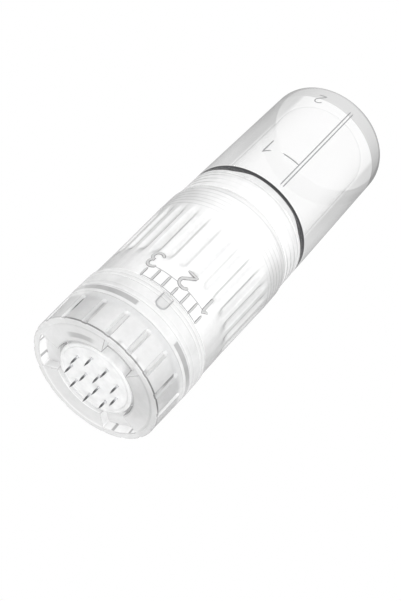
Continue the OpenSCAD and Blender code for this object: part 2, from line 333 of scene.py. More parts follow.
def lay_radially(obj, azimuth):
    """Lays a part made along Z out along a radius at the height of the cam pins."""
    obj.data.transform(Matrix.Rotation(math.radians(azimuth - 90), 4, "Z")
                       @ Matrix.Translation((0, 0, PIN_Z * MM))
                       @ Matrix.Rotation(math.radians(90), 4, "Y"))
    return obj


# ------------------------------------------------------------------ shader tools
def mm(*lengths):
    return tuple(length * MM for length in lengths)


def deg(*angles):
    return tuple(math.radians(angle) for angle in angles)


class Value:
    """A shader output that takes Python arithmetic: each operator adds one Math node."""

    def __init__(self, graph, socket):
        self.graph = graph
        self.socket = socket

    def __getitem__(self, output):
        """Another output of the same node."""
        return Value(self.graph, self.socket.node.outputs[output])

    def math(self, operation, *others, clamp=False):
        return self.graph.math(operation, self, *others, clamp=clamp)

    def vector(self, operation, *others):
        node = self.graph.node("VectorMath", dict(enumerate((self, *others))),
                               operation=operation)
        return node["Value"] if operation in ("DOT_PRODUCT", "LENGTH") else node

    def __add__(self, other):
        return self.math("ADD", other)

    def __sub__(self, other):
        return self.math("SUBTRACT", other)

    def __rsub__(self, other):
        return self.graph.math("SUBTRACT", other, self)

    def __mul__(self, other):
        return self.math("MULTIPLY", other)

    def __pow__(self, other):
        return self.math("POWER", other)

    def __gt__(self, other):
        return self.math("GREATER_THAN", other)

    def __lt__(self, other):
        return self.math("LESS_THAN", other)

    def __abs__(self):
        return self.math("ABSOLUTE")

    def dot(self, other):
        return self.vector("DOT_PRODUCT", other)

    def flat(self):
        """Unit direction seen along the axis."""
        return self.vector("MULTIPLY", (1.0, 1.0, 0.0)).vector("NORMALIZE")

    def multiply_add(self, factor, addend):
        return self.math("MULTIPLY_ADD", factor, addend)

    def weight(self, factor):
        """1 where this mask is 0, and factor where it is 1."""
        return self.multiply_add(factor - 1.0, 1.0)

    def remap(self, source, target, kind="SMOOTHSTEP"):
        """Maps the source range to the target range."""
        inputs = {"Value": self, "From Min": source[0], "From Max": source[1],
                  "To Min": target[0], "To Max": target[1]}
        return self.graph.node("MapRange", inputs, interpolation_type=kind)


class Graph:
    """A new node tree for a material or world."""

    def __init__(self, owner, output="OutputMaterial"):
        self.owner = owner
        owner.use_nodes = True
        self.tree = owner.node_tree
        for node in list(self.tree.nodes):
            self.tree.nodes.remove(node)
        self.output = self.tree.nodes.new("ShaderNode" + output)

    def put(self, socket, value):
        if isinstance(value, Value):
            self.tree.links.new(value.socket, socket)
        else:
            socket.default_value = value

    def node(self, kind, inputs=None, **settings):
        """Adds a node and returns its first output."""
        node = self.tree.nodes.new("ShaderNode" + kind)
        for key, setting in settings.items():
            setattr(node, key, setting)
        for key, value in (inputs or {}).items():
            self.put(node.inputs[key], value)
        return Value(self, node.outputs[0])

    def math(self, operation, *values, clamp=False):
        return self.node("Math", dict(enumerate(values)), operation=operation, use_clamp=clamp)

    def mix(self, mask, low, high):
        return self.node("Mix", {0: mask, 2: low, 3: high}, data_type="FLOAT")

    def mix_shader(self, mask, low, high):
        return self.node("MixShader", {0: mask, 1: low, 2: high})

    def stretch(self, vector, scale):
        return self.node("Mapping", {"Scale": scale, "Vector": vector})

    def noise(self, vector, scale, detail, roughness=0.5):
        return self.node("TexNoise", {"Scale": scale, "Detail": detail, "Roughness": roughness,
                                      "Vector": vector})

    def bump(self, height, strength, distance, **more):
        return self.node("Bump", {"Strength": strength, "Distance": distance * MM,
                                  "Height": height, **more})

    def ramp(self, value, stops, tint=(1, 1, 1)):
        """Colour ramp through (position, brightness) stops."""
        ramp = self.node("ValToRGB")
        elements = ramp.socket.node.color_ramp.elements
        while len(elements) < len(stops):
            elements.new(0.5)
        for element, (position, bright) in zip(elements, stops):
            element.position = position
            element.color = (*(bright * channel for channel in tint), 1)
        self.put(ramp.socket.node.inputs["Fac"], value)
        return ramp

    def finish(self, surface):
        self.put(self.output.inputs["Surface"], surface)
        return self.owner


def new_graph(name):
    return Graph(bpy.data.materials.new(name))


# ------------------------------------------------------------------ clear plastic
class PlasticGraph(Graph):
    """Graph with the values that the marks in clear plastic share."""

    def __init__(self, name):
        super().__init__(bpy.data.materials.new(name))
        self.object = self.node("TexCoord")["Object"]
        self.geometry = self.node("NewGeometry")
        self.normal_flat = self.geometry["Normal"]
        self.incoming = self.geometry["Incoming"]
        self.light_path = self.node("LightPath")
        self.haze_steps = []    # functions that alter the milkiness after the tone is done

    @cached_property
    def place(self):
        return self.node("SeparateXYZ", {0: self.object})

    @cached_property
    def radius(self):
        return self.object.vector("MULTIPLY", (1.0, 1.0, 0.0)).vector("LENGTH")

    @property
    def z(self):
        return self.place["Z"]

    def azimuth(self):
        return self.place["X"].math("ARCTAN2", self.place["Y"] * -1.0)

    def toward_view(self):
        """1 on the side of the round body that faces the view, 0 at its outline."""
        return self.object.flat().dot(self.incoming.flat())

    def z_band(self, low, high, outside):
        """1 between two heights, fading over 0.03 mm within and a given length outside."""
        return (self.z.remap(mm(low - outside, low + 0.03), (0.0, 1.0))
                * self.z.remap(mm(high - 0.03, high + outside), (1.0, 0.0)))

    def helix_distance(self, azimuth, spacing, phase):
        """Distance, 0 to 0.5 of the spacing, from the lines of a screw thread."""
        height = self.z - azimuth * (PITCH * MM / (2 * math.pi))
        turns = height.multiply_add(1.0 / (spacing * MM), phase).math("FRACT")
        return abs(turns - 0.5)


# Each mark below takes the graph and the wall's tone and returns the changed tone.

def vial_painted_shade(g, tone, wall, base_z, side, low):
    """Painted shade for the solid side walls and base of the vial. wall is the bore's share of the
    radius, base_z the top of the base, side and low the painted tones of wall and base."""
    outer = g.radius > 5.7 * MM
    square = abs(g.normal_flat.flat().dot(g.incoming.flat()))
    edge = math.sqrt(1 - wall * wall)   # squareness where the bore's outline is seen
    sides = square.remap((edge - 0.06, edge + 0.03), (side, 1.0))
    sides = sides * square.remap((edge, edge + 0.26), (0.975, 1.0))
    # near the base the far wall is not behind the near one, so the near one counts twice
    sides = sides ** g.z.remap(mm(4.0, 11.0), (2.0, 1.0))
    sides = sides.math("MAXIMUM", g.radius < 6.6 * MM)
    # painted shade: a grey band over the thick base, ending at base_z
    base = g.z.remap(mm(base_z - 0.08, base_z + 0.08), (1.0, 0.0))
    base = base * (outer * (g.z > 0.12 * MM))
    base = base * g.behind.weight(0.15)
    tone = tone * g.mix(base, sides, low)
    # painted shade darkens the base at its outline, more on the -X side
    outline = g.facing.remap((0.0, 0.70), (0.36, 1.0))
    outline = (outline - 1.0).multiply_add(g.place["X"].remap(mm(2.0, -3.0), (0.25, 1.0)), 1.0)
    return tone * base.weight(outline)


def outer_ring(g, tone, inner_r, dark):
    """Darker tone beyond a radius."""
    return tone * g.radius.remap(mm(inner_r - 0.05, inner_r + 0.05), (1.0, dark))


def rim_line(g, tone, low, high, dark):
    """Painted shade line round the dial's top edge, darkest over the front and fading round to the
    sides.
    """
    line = g.z_band(low, high, outside=0.02)
    line = line * (g.radius > 6.4 * MM)
    line = line * (1.0 - g.behind)
    line = line * g.flow.remap((0.35, 0.65), (0.8, 1.0))
    off_middle = abs(g.azimuth() + math.radians(7))
    line = line * off_middle.remap(deg(50, 62), (1.0, 0.30))
    return tone * line.weight(dark)


def collar_edge(g, tone, edge_z, line_z):
    """The collar's bottom edge is clear, so the black seal shows through it towards the sides.
    Above it, painted shade marks a fine turned line and short strokes of the inner thread."""
    view = g.toward_view()
    clear_height = view.remap((0.70, 0.985), mm(0.56, 0.03))
    below = (clear_height + edge_z * MM) - g.z
    clear = below.remap(mm(-0.03, 0.05), (0.0, 0.95)) * (view > 0.0)
    g.haze_steps.append(lambda haze: haze * (1.0 - clear))
    # painted shade along the turned line
    off_line = abs(g.z - line_z * MM)
    line = off_line.remap(mm(0.03, 0.09), (1.0, 0.0)) * view.remap((0.35, 0.9), (0.42, 0.07))
    line = line * (1.0 - g.behind)
    tone = tone * (1.0 - line)
    # painted shade strokes of the inner thread, stronger towards the sides
    distance = g.helix_distance(g.azimuth(), spacing=PITCH / 2, phase=0.15)
    strokes = distance.remap((0.04, 0.15), (1.0, 0.0))
    strokes = strokes * g.z.remap(mm(edge_z + 0.75, edge_z + 0.95), (0.0, 1.0))
    strokes = strokes * view.remap((0.38, 0.80), (0.46, 0.04))
    strokes = strokes * ((1.0 - g.behind) * (g.radius > 6.4 * MM))
    return tone * (1.0 - strokes)


def side_shade(g, tone, centre, dark):
    """Deeper tone on one side, about the centre azimuth."""
    turned = g.azimuth() - math.radians(centre)
    off_centre = abs(turned.math("WRAP", math.pi, -math.pi))
    amount = off_centre.remap(deg(14, 52), (dark, 0.0)) * (1.0 - g.behind)
    amount = amount * (g.radius > 6.0 * MM)
    return tone * (1.0 - amount)


def dial_pockets(g, tone):
    """Lighter skirt below the dial's head, pockets painted with light until nearly white, and a
    shaded mouth wall.
    """
    skirt_z = 41.0
    tone = tone ** g.z.remap(mm(skirt_z - 0.3, skirt_z + 0.3), (0.48, 1.0))
    inside = (g.radius < (RIM_R + 0.04) * MM) * (g.z > (FACE_Z - 1.3) * MM)
    inside = inside * (g.radius > (MOUTH_R + 0.25) * MM)
    pocket = inside * (g.z < (FACE_Z - 0.12) * MM)
    g.pocket = pocket
    # painted light in the pockets, strongest on their outer wall
    tone = tone ** pocket.weight(0.50)
    wall = pocket * (g.radius > 6.0 * MM)
    tone = tone * (pocket - wall).weight(0.87)
    tone = tone ** wall.weight(0.2)
    lip = (g.radius < (MOUTH_R + 0.2) * MM) * (g.z > (FACE_Z - 1.5) * MM)
    tone = tone * lip.weight(0.88)

    # milky pockets, a little clearer at their outer wall, and a milky top face
    def pocket_haze(haze):
        haze_inside = (g.radius > 6.0 * MM).multiply_add(-0.35, 0.92)
        return haze.math("MAXIMUM", pocket * haze_inside)

    def face_haze(haze):
        return haze.math("MAXIMUM", (g.z > (FACE_Z - 0.05) * MM) * 0.74)

    g.haze_steps += [pocket_haze, face_haze]
    return tone


def dial_grooves(g, tone):
    """Painted highlight on the groove flanks, painted shade on the groove floors seen from the
    side, and the index tab.
    """
    groove_low = 40.8 * MM
    outward = g.object.flat()
    view = outward.dot(g.incoming.flat())
    # painted highlight on the groove flanks
    flank = abs(g.normal_flat.dot(outward)).remap((0.80, 0.93), (0.55, 0.0))
    flank = flank * ((g.radius > 6.2 * MM)
                     * ((g.z > groove_low) * (g.z < (FACE_Z - 0.4) * MM)))
    flank = flank * (1.0 - g.behind)
    g.haze_steps.append(lambda haze: haze.math("MAXIMUM", flank * 0.9))
    tone = tone ** (1.0 - flank)
    # lines on the pockets' outer wall, midway between the grooves
    half = 180 / GROOVES
    turned = g.azimuth() - math.radians(GROOVE_START + half)
    off_line = abs(turned.math("WRAP", *deg(half, -half)))
    lines = off_line.remap(deg(1.0, 2.2), (0.5, 0.0)) * (g.pocket * (g.radius > 6.0 * MM))
    tone = tone * (1.0 - lines)
    # painted shade on the groove floors
    floor = (((g.radius > 6.3 * MM) * (g.radius < 6.64 * MM))
             * ((g.z > groove_low) * (g.z < (FACE_Z - 0.35) * MM)))
    floor = floor * (1.0 - g.behind)
    floor = floor * view.remap((0.45, 0.93), (0.78, 0.0))
    floor = floor * g.z.remap(mm(41.9, 43.3), (1.0, 0.25))
    tone = tone * (1.0 - floor)
    tab = (g.radius > 7.06 * MM) * 0.12
    return tone * (1.0 - tab)


def dial_face(g, tone):
    """Two soft shades in the top face: beside the mouth on the +X side, broad on the -X side."""
    off_middle = abs(g.azimuth() - math.radians(40))
    amount = (off_middle.remap(deg(10, 20), (0.30, 0.0))
              * abs(g.radius - 5.02 * MM).remap(mm(0.20, 0.36), (1.0, 0.0)))
    amount = amount * (g.z > (FACE_Z - 0.05) * MM)
    tone = tone * (1.0 - amount)
    off_middle = abs(g.azimuth() + math.radians(60))
    amount = off_middle.remap(deg(12, 50), (0.15, 0.0))
    amount = amount * g.radius.remap(mm(6.4, 6.0), (0.3, 1.0))
    amount = amount * (g.z > (FACE_Z - 0.05) * MM)
    return tone * (1.0 - amount)


def grip_lines(g, tone):
    """Painted shade: fine lines where the screw thread inside shows through, and soft stripes in
    the flutes outside, both stronger towards the sides."""
    top_z = 25.7
    azimuth = g.azimuth()
    # painted shade lines where the inner thread shows through the wall
    line = g.helix_distance(azimuth, spacing=0.54, phase=0.35).remap((0.0, 0.17), (1.0, 0.0))
    line = line * g.z.remap(mm(THREAD_Z - 0.15, THREAD_Z), (0.0, 1.0))
    line = line * g.z.remap(mm(top_z, top_z + 0.15), (1.0, 0.0))
    line = line * (1.0 - g.behind)
    line = line * g.facing.remap((0.15, 0.78), (0.46, 0.06), "LINEAR")
    # the grip's painted shade is lighter at its bottom edge
    tone = tone ** g.z.remap(mm(22.3, 23.3), (0.5, 1.0))
    tone = tone * (1.0 - line)
    view = g.toward_view()
    # painted shade in the flute hollows
    phase = math.radians(FLUTES * -FLUTE_START + 25)
    stripe = azimuth.multiply_add(float(FLUTES), phase).math("COSINE")
    stripe = stripe.remap((-0.4, 0.8), (0.0, 1.0))
    stripe = stripe * view.remap((0.40, 0.93), (0.17, 0.0))
    stripe = stripe * (g.z.remap(mm(25.6, 27.6), (0.0, 1.0))
                       * g.z.remap(mm(32.6, 35.4), (1.0, 0.35)))
    stripe = stripe * (1.0 - g.behind)
    return tone * (1.0 - stripe)


def ring_arcs(g, tone, low, high, half, dark):
    """The smoky ring's three lugs, which the clear wall shows at its surface."""
    band = g.z_band(low, high, outside=0.05)
    turned = (g.azimuth() - math.radians(RING_START)).math("WRAP", *deg(60, -60))
    arc = abs(turned).remap(deg(half - 0.9, half + 0.9), (1.0, 0.0))
    shown = (band * arc) * (g.radius > 6.6 * MM)
    shown = shown * g.behind.weight(0.2)
    shown = shown * g.flow.remap((0.3, 0.7), (0.85, 1.0))
    shown = shown * g.toward_view().remap((0.15, 0.65), (0.45, 1.0))
    return tone * shown.weight(dark)


# Brightness of one clear wall by how squarely it is seen: (squareness, linear brightness)
PLAIN = ((0.0, 0.42), (0.10, 0.52), (0.20, 0.66), (0.32, 0.79), (0.46, 0.90), (0.60, 0.97),
         (0.72, 1.0))
SOFT = ((0.0, 0.45), (0.10, 0.66), (0.2, 0.82), (0.32, 0.93), (0.5, 0.99), (0.6, 1.0))
SHARP = ((0.0, 0.40), (0.08, 0.46), (0.16, 0.52), (0.26, 0.59), (0.36, 0.67), (0.46, 0.76),
         (0.55, 0.87), (0.62, 0.95), (0.69, 1.0))
EVEN = ((0.0, 0.42), (0.08, 0.57), (0.16, 0.69), (0.26, 0.79), (0.38, 0.86), (0.50, 0.90),
        (0.62, 0.945), (0.72, 0.975), (0.79, 0.99))
DULL = ((0.0, 0.37), (0.10, 0.48), (0.20, 0.57), (0.32, 0.64), (0.46, 0.715), (0.60, 0.80),
        (0.70, 0.865), (0.80, 0.93), (0.92, 0.99))
PALE = ((0.0, 0.70), (0.12, 0.80), (0.3, 0.90), (0.5, 0.97), (0.7, 1.0))


def clear_plastic(name, haze, ramp=PLAIN, deep=0.3, edge=0.5, edge_r=0.07, gloss=1.0,
                  rough=0.05, wave=0.15, wave_scale=260.0, grain=0.0, tint=(1.0, 1.0, 1.0),
                  patchy=0.012, deep_haze=0.35, deep_edge=0.5, marks=()):
    """Clear moulded plastic in a light tent: walls darken where seen edge on and sharp edges
    catch a thin grey line.

    haze: milkiness, or ((z0, z1), (haze0, haze1)); deep, deep_haze, deep_edge: strengths of
    tone, haze and edge line in walls behind the first; edge, edge_r: depth and reach (mm)
    of the edge line; wave, wave_scale, grain: resin flow and fine bump; patchy: loss of
    clarity in patches; marks: functions that change the tone.
    """
    g = PlasticGraph(name)
    # slow streaks of resin flow along the axis
    g.flow = g.noise(g.stretch(g.object, (1, 1, 0.25)), wave_scale, detail=3)
    normal = g.bump(g.flow, wave, distance=0.04)
    if grain:
        fine = g.noise(g.object, scale=5200.0, detail=4)
        normal = g.bump(fine, grain, distance=0.02, Normal=normal)
    g.behind = g.light_path["Transparent Depth"] > 0.5
    g.facing = abs(normal.dot(g.incoming))
    tone = g.ramp(g.facing, ramp) ** g.behind.weight(deep)
    if edge:
        bevel = g.node("Bevel", {"Radius": edge_r * MM}, samples=4)
        line = abs(bevel.dot(g.normal_flat)).remap((0.80, 0.995), (edge, 0.0))
        line = line * g.behind.weight(deep_edge)
        tone = tone * (1.0 - line)
    tone = tone * g.flow.remap((0.3, 0.7), (1.0 - patchy, 1.0))
    for mark in marks:
        tone = mark(g, tone)
    colour = tone.vector("MULTIPLY", tint)
    # milkiness
    if isinstance(haze, tuple):
        heights, amounts = haze
        haze = g.node("SeparateXYZ", {0: g.object})["Z"].remap(mm(*heights), amounts)
    haze = g.behind.weight(deep_haze) * haze
    for haze_step in g.haze_steps:
        haze = haze_step(haze)
    patches = g.noise(g.object, scale=900.0, detail=6, roughness=0.65)
    haze = haze.math("MULTIPLY", patches.remap((0.35, 0.7), (0.96, 1.04)), clamp=True)
    clear = g.node("BsdfTransparent", {"Color": colour})
    diffuse = g.node("BsdfDiffuse", {"Color": colour, "Normal": normal})
    translucent = g.node("BsdfTranslucent", {"Color": colour, "Normal": normal})
    body = g.mix_shader(haze, clear, g.mix_shader(0.5, diffuse, translucent))
    # surface gloss, with patches of handling haze
    roughness = patches.remap((0.42, 0.75), (rough, rough + 0.08))
    glossy = g.node("BsdfGlossy", {"Roughness": roughness, "Normal": normal})
    fresnel = g.node("Fresnel", {"IOR": 1.46, "Normal": normal})
    shine = fresnel * (1.0 - g.geometry["Backfacing"])
    shine = shine * gloss
    shine = shine.math("MULTIPLY", g.behind.weight(0.4), clamp=True)
    return g.finish(g.mix_shader(shine, body, glossy))


# ------------------------------------------------------------------ opaque materials
def solid(name, dark, light, rough, scale, bump):
    """Two-tone noise colour, roughness varied over a range, and a fine bump."""
    g = new_graph(name)
    vector = g.stretch(g.node("TexCoord")["Object"], (1, 1, 1))
    noise = g.noise(vector, scale, detail=6, roughness=0.6)
    colour = g.node("Mix", {0: noise, 6: (*dark, 1), 7: (*light, 1)}, data_type="RGBA")[2]
    return g.finish(g.node("BsdfPrincipled", {
        "Subsurface Scale": 0.001,
        "Base Color": colour,
        "Roughness": noise.remap((0.3, 0.7), rough, "LINEAR"),
        "Normal": g.bump(noise, bump, distance=0.02)}))


def raised_mark(name, dark, light):
    """Raised clear marking with painted shade: its flanks are dark lines and its flat top is a
    paler grey.
    """
    g = new_graph(name)
    place = g.node("TexCoord")["Object"]
    normal = g.node("NewGeometry")["Normal"]
    noise = g.noise(place, scale=2600.0, detail=5)
    outward = normal.dot(place.flat())
    # painted shade: darker where the surface turns away from the outward direction
    grey = (outward + noise.remap((0.3, 0.7), (-0.04, 0.04))).remap((0.80, 0.99), (dark, light))
    return g.finish(g.node("BsdfPrincipled", {
        "Base Color": g.node("CombineColor", {0: grey, 1: grey, 2: grey}),
        "Roughness": noise.remap((0.3, 0.7), (0.3, 0.45)),
        "Normal": g.bump(noise, 0.2, distance=0.01)}))


def needle_steel_painted_reflection():
    """Ground steel with painted reflection: bright at the root, dark in the middle, lighter on the
    ground point.
    """
    g = new_graph("needle_steel_painted_reflection")
    place = g.node("TexCoord")["Object"]
    z = g.node("SeparateXYZ", {0: place})["Z"]
    along = z.remap(mm(PLATE_Z, TIP_Z), (0.0, 1.0), "LINEAR")
    noise = g.noise(g.stretch(place, (1, 1, 0.08)), scale=9000.0, detail=4)
    along = along + noise.remap((0.3, 0.7), (-0.06, 0.06))
    # (share of the exposed length, painted brightness)
    stops = ((0.0, 0.80), (0.14, 0.58), (0.34, 0.18), (0.62, 0.11), (0.84, 0.24), (1.0, 0.50))
    return g.finish(g.node("BsdfPrincipled", {
        "Metallic": 0.85,
        "Base Color": g.ramp(along, stops, tint=(1, 1.01, 1.03)),
        "Roughness": noise.remap((0.3, 0.7), (0.18, 0.34)),
        "Normal": g.bump(noise, 0.3, distance=0.01)}))


# ------------------------------------------------------------------ the materials
SHADE_AZIMUTH = -72.0
VIAL_CLEAR = clear_plastic(
    "clear_vial", haze=0.05, ramp=SOFT, deep=0.25, edge=0.3, wave=0.05, rough=0.02,
    patchy=0.004, gloss=0.5,
    marks=[partial(vial_painted_shade, wall=0.77, base_z=2.8, side=0.885, low=0.78)])
GRIP_CLEAR = clear_plastic(
    "clear_grip", haze=((25.2, 27.5), (0.78, 0.82)), ramp=SHARP, deep=0.5, edge=0.3,
    wave=0.10, grain=0.02, gloss=0.6, patchy=0.008,
    marks=[partial(side_shade, centre=SHADE_AZIMUTH, dark=0.09), grip_lines])
COLLAR_CLEAR = clear_plastic(
    "clear_collar", haze=((21.9, 22.3), (0.9, 0.8)), ramp=EVEN, deep=0.4, edge=0.6,
    wave=0.10, grain=0.02, gloss=0.6, patchy=0.008, deep_edge=0.7, deep_haze=0.6,
    marks=[partial(collar_edge, edge_z=COLLAR_Z, line_z=19.5),
           partial(side_shade, centre=SHADE_AZIMUTH, dark=0.04)])
DIAL_CLEAR = clear_plastic(
    "clear_dial", haze=0.5, ramp=DULL, deep=0.35, edge=0.55, edge_r=0.06, wave=0.12,
    grain=0.02, gloss=0.6,
    marks=[partial(rim_line, low=FACE_Z - 0.20, high=FACE_Z - 0.02, dark=0.30),
           partial(side_shade, centre=SHADE_AZIMUTH, dark=0.09),
           dial_pockets, dial_grooves, dial_face,
           partial(ring_arcs, low=39.45, high=39.98, half=40.0, dark=0.58)])
INNER_CLEAR = clear_plastic("clear_inner", haze=0.10, ramp=PALE, deep=0.12, edge=0.25,
                            wave=0.1, deep_haze=1.0, deep_edge=0.25)
PLATE_CLEAR = clear_plastic(
    "clear_plate", haze=0.85, ramp=PALE, tint=(0.965, 0.966, 0.966), deep=0.4, edge=0.3,
    wave=0.35, wave_scale=900, grain=0.1, deep_haze=0.9, patchy=0.09,
    marks=[partial(outer_ring, inner_r=3.45, dark=0.93)])
MOULDED_MARK = solid("moulded_mark", dark=(0.24, 0.245, 0.25), light=(0.36, 0.365, 0.37),
                     rough=(0.3, 0.45), scale=2500, bump=0.2)
RAISED_MARK = raised_mark("raised_mark", dark=0.13, light=0.46)
PRINT = solid("printed_mark", dark=(0.20, 0.203, 0.206), light=(0.30, 0.303, 0.307),
              rough=(0.35, 0.5), scale=3500, bump=0.3)
BLACK_RUBBER = solid("black_rubber", dark=(0.018, 0.018, 0.02), light=(0.05, 0.05, 0.053),
                     rough=(0.38, 0.55), scale=2200, bump=0.35)
SMOKY = clear_plastic("smoky_ring", haze=0.2, deep=0.4, edge=0.2, tint=(0.86, 0.865, 0.87),
                      deep_haze=1.0, patchy=0.06, rough=0.2)
SILICONE = clear_plastic("silicone", haze=0.15, deep=0.12, edge=0, wave=0.2, grain=0.1,
                         rough=0.3, gloss=0.4)
NATURAL = clear_plastic("natural_plastic", haze=0.2, deep=0.12, edge=0, grain=0.1,
                        rough=0.25, gloss=0.4, deep_haze=1.0)
STEEL = needle_steel_painted_reflection()


def fit(obj, body, material, slot, *nodes):
    """Gives a part its material, the body it moves with and the CAD pieces it replaces."""
    obj.data.materials.clear()
    obj.data.materials.append(material)
    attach(obj, body)
    if nodes:
        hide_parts(*nodes)
    return obj


# ------------------------------------------------------------------ vial
def thread(azimuth, height, start_z, turns):
    """Height 0..1 of a thread ridge at each point, with run-in and run-out."""
    half_width = 0.44 / 2
    ridge_height = np.zeros_like(height)
    base = (azimuth - THREAD_START) % 360.0
    for k in range(int(math.ceil(turns)) + 1):
        turn = (base + 360.0 * k) / 360.0
        off_middle = np.abs(height - (start_z + PITCH * turn))
        ridge = 1 - smooth(off_middle, half_width - 0.06, half_width + 0.08)
        ends = smooth(turn, 0.0, 0.03) * (1 - smooth(turn, turns - 0.05, turns))
        ridge_height = np.maximum(ridge_height, ridge * ends * (turn <= turns))
    return ridge_height


def neck_thread(radius, height, azimuth):
    neck = (radius > 5.0) & (radius < 5.3) & (height > SHOULDER_Z + 0.4)
    ridge = THREAD_DEPTH * thread(azimuth, height, THREAD_Z, turns=2.0)
    return radius + np.where(neck, ridge, 0), height


def build_vial():
    neck_r, neck_top, bore_r = 5.2, 25.4, NECK_BORE + GAP
    vial = lathe("vial_body", [
        (0, 0.0), (VIAL_R, 0.0, 0.98), (VIAL_R, SHOULDER_Z, 0.10), (neck_r, SHOULDER_Z, 0.12),
        (neck_r, neck_top, 0.12), (bore_r, neck_top, 0.12), (bore_r, 16.5, 0.3),
        (5.4, 16.5, 0.5), (5.4, 1.7, 0.8), (0, 1.62)],
        256, closed=False, seg=9, shape=neck_thread, step=0.9,
        zones=((SHOULDER_Z + 0.3, 25.3, 0.07),))
    fit(vial, "vial", VIAL_CLEAR, "clear_vial", "vial_shell")

    plug_r, hole_r = NECK_BORE - GAP, 1.1
    plug = lathe("neck_plug", [(hole_r, 23.4, .05), (plug_r, 23.4, .08), (plug_r, 25.38, .08),
                               (hole_r, 25.38, .05)], 128)
    plug_tip = lathe("neck_plug_tip", [(hole_r, 22.6, .1), (1.8, 22.6, .15), (1.8, 23.38, .03),
                                       (hole_r, 23.38, .03)], 96)
    cut(plug, rods([polar(2.8, 90 + 60 * k) for k in range(6)], 22, 27, 0.5))
    for part in (plug, plug_tip):
        fit(part, "vial", INNER_CLEAR, "clear_inner", "orifice_plug")

    low, high = SHOULDER_Z + 0.005, COLLAR_Z - 0.005
    seal = lathe("seal_ring", [(5.78, low, .06), (6.95, low, .12), (6.95, high, .12),
                               (5.78, high, .06)], 256, seg=20)
    fit(seal, "seal", BLACK_RUBBER, "black_rubber", "vial_gasket")


build_vial()


# ------------------------------------------------------------------ collar and grip
def collar_thread(radius, height, azimuth):
    bore = (radius > 5.7) & (radius < 5.9) & (height > COLLAR_Z + 0.4) & (height < 25.8)
    ridge = THREAD_DEPTH * thread(azimuth, height, THREAD_Z + PITCH / 2, turns=1.6)
    return radius - np.where(bore, ridge, 0), height


def build_collar():
    low, step_z, top = COLLAR_Z + GAP, GRIP_Z - GAP, SEAT_Z - GAP
    bore_r, groove_r = 5.8, COLLAR_R - 0.09
    collar = lathe("collar", [
        (bore_r, low, .08), (COLLAR_R, low, .14), (COLLAR_R, 19.36, .02),
        (groove_r, 19.44, .03), (groove_r, 19.56, .03), (COLLAR_R, 19.64, .02),
        (COLLAR_R, step_z, .07), (SEAT_R - GAP, step_z, .05), (SEAT_R - GAP, top, .1),
        (1.92, top, .05), (1.92, 26.2, .05), (0.95, 26.2, .04), (0.95, 25.9, .04),
        (bore_r, 25.9, .2)],
        256, seg=15, shape=collar_thread, step=1.2, zones=((COLLAR_Z + 0.3, 25.8, 0.07),))
    fit(collar, "grip", COLLAR_CLEAR, "clear_grip", "vial_socket")


def flutes(radius, height, azimuth):
    half = 180.0 / FLUTES
    # 0 at a flute's middle, 1 on the crest
    across = np.abs(wrap(azimuth - FLUTE_START, half)) / half
    hollow = 1 - smooth(across, 0.12, 0.74)
    # each flute fades at both ends
    along = np.minimum(smooth(height, 25.9, 27.6), 1 - smooth(height, 32.7, 33.75))
    depth = 0.27 * hollow * along
    return radius - np.where(radius > 6.5, depth, 0), height


def slot_cutter(azimuth):
    """Upright round-ended slot through the spigot for a cam pin."""
    half_width, steps = 0.55, 12
    outline = []
    for i in range(2 * steps):
        a = math.pi * (i + 0.5) / steps
        end = half_width if math.sin(a) > 0 else -half_width
        outline.append((half_width * math.cos(a), PIN_Z + (half_width * math.sin(a) + end)))
    bm = bmesh.new()
    inner, outer = ([bm.verts.new((x * MM, y * MM, z * MM)) for y, z in outline]
                    for x in (4.3, 6.2))
    bm.faces.new(inner)
    bm.faces.new(outer[::-1])
    count = len(outline)
    for i in range(count):
        j = (i + 1) % count
        bm.faces.new((inner[i], outer[i], outer[j], inner[j]))
    bmesh.ops.recalc_face_normals(bm, faces=bm.faces)
    bmesh.ops.rotate(bm, verts=bm.verts, cent=(0, 0, 0),
                     matrix=Matrix.Rotation(math.radians(azimuth - 90), 3, "Z"))
    return bmesh_object("slot", bm)


def build_grip():
    low, seat_r, seat_z = GRIP_Z + GAP, SEAT_R + GAP, SEAT_Z + GAP
    spigot_r, groove_r, bore_r = 5.70, 5.3, 4.75
    grip = lathe("grip", [
        (seat_r, low, .05), (6.985, low, .1), (GRIP_R, 22.95, .8), (GRIP_R, 25.1, 1.5),
        (GRIP_R - 0.075, 28, 3), (GRIP_TOP_R + .05, 33.3, 2), (GRIP_TOP_R, STEP_Z, .1),
        (spigot_r, STEP_Z, .06), (spigot_r, 39.4, .03), (groove_r, 39.4, .05),
        (groove_r, 40.0, .05), (spigot_r, 40.0, .03), (spigot_r, 40.35, .03),
        (groove_r, 40.35, .05), (groove_r, 40.95, .05), (spigot_r, 40.95, .03),
        (spigot_r, SPIGOT_Z, .1), (bore_r, SPIGOT_Z, .1), (bore_r, 34.6, .3), (5.1, 34.2, .3),
        (5.1, 28.4, .3), (bore_r, 28.0, .2), (bore_r, seat_z, .1), (seat_r, seat_z, .1)],
        FLUTES * 24, seg=15, shape=flutes, step=0.5)
    cut(grip, [slot_cutter(azimuth) for azimuth in PIN_AZIMUTHS])
    fit(grip, "grip", GRIP_CLEAR, "clear_grip", "grip_body")


build_collar()
build_grip()


# ------------------------------------------------------------------ raised and printed marks
def grip_wall(z):
    return np.interp(z, [28, 33.3, STEP_Z], [GRIP_R - 0.075, GRIP_TOP_R + .05, GRIP_TOP_R])


def vial_wall(z):
    return VIAL_R


def arc(x, z, radius_x, radius_z, start, end, steps):
    """Points of an elliptic arc from start to end degrees."""
    angles = [math.radians(start + (end - start) * i / steps) for i in range(steps + 1)]
    return [(x + radius_x * math.cos(a), z + radius_z * math.sin(a)) for a in angles]


